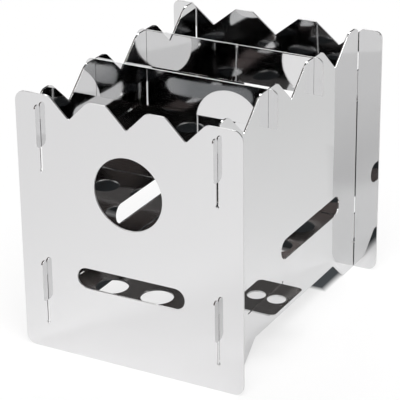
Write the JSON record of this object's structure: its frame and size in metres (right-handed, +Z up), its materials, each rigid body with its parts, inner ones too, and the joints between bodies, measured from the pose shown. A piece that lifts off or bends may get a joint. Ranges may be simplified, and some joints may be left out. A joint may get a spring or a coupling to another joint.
{
  "type": "hobo stove",
  "caption": "Flat-pack hobo stove of slotted polished steel sheets, open on top between notched walls, with pot bars and a perforated base plate.",
  "frame": {"origin": "on the ground, under the middle of the stove", "axes": "+X to the right along the front panel, +Y from the front panel to the back panel, +Z up"},
  "size_m": [0.15, 0.2012, 0.1675],
  "materials": {
    "polished_sheet": "mirror-polished stainless steel sheet with laser-cut edges",
    "grate_sheet": "mirror-polished stainless steel sheet, lightly marked by handling"
  },
  "bodies": {
    "back": {"back_panel": "polished_sheet"},
    "side_frame": {"left_side_panel": "polished_sheet", "right_side_panel": "polished_sheet", "base_plate": "grate_sheet"},
    "front": {"front_panel": "polished_sheet"},
    "front_bar": {"front_bar": "polished_sheet"},
    "rear_bar": {"rear_bar": "polished_sheet"}
  },
  "joints": [
    {"name": "side_frame_lift", "type": "slide", "parent": "back", "child": "side_frame", "axis": [0, 0, 1], "range_m": [0, 0.012]},
    {"name": "front_panel_lift", "type": "slide", "parent": "side_frame", "child": "front", "axis": [0, 0, 1], "range_m": [0, 0.0148]},
    {"name": "front_bar_lift", "type": "slide", "parent": "side_frame", "child": "front_bar", "axis": [0, 0, 1], "range_m": [0, 0.03]},
    {"name": "rear_bar_lift", "type": "slide", "parent": "side_frame", "child": "rear_bar", "axis": [0, 0, 1], "range_m": [0, 0.03]}
  ]
}
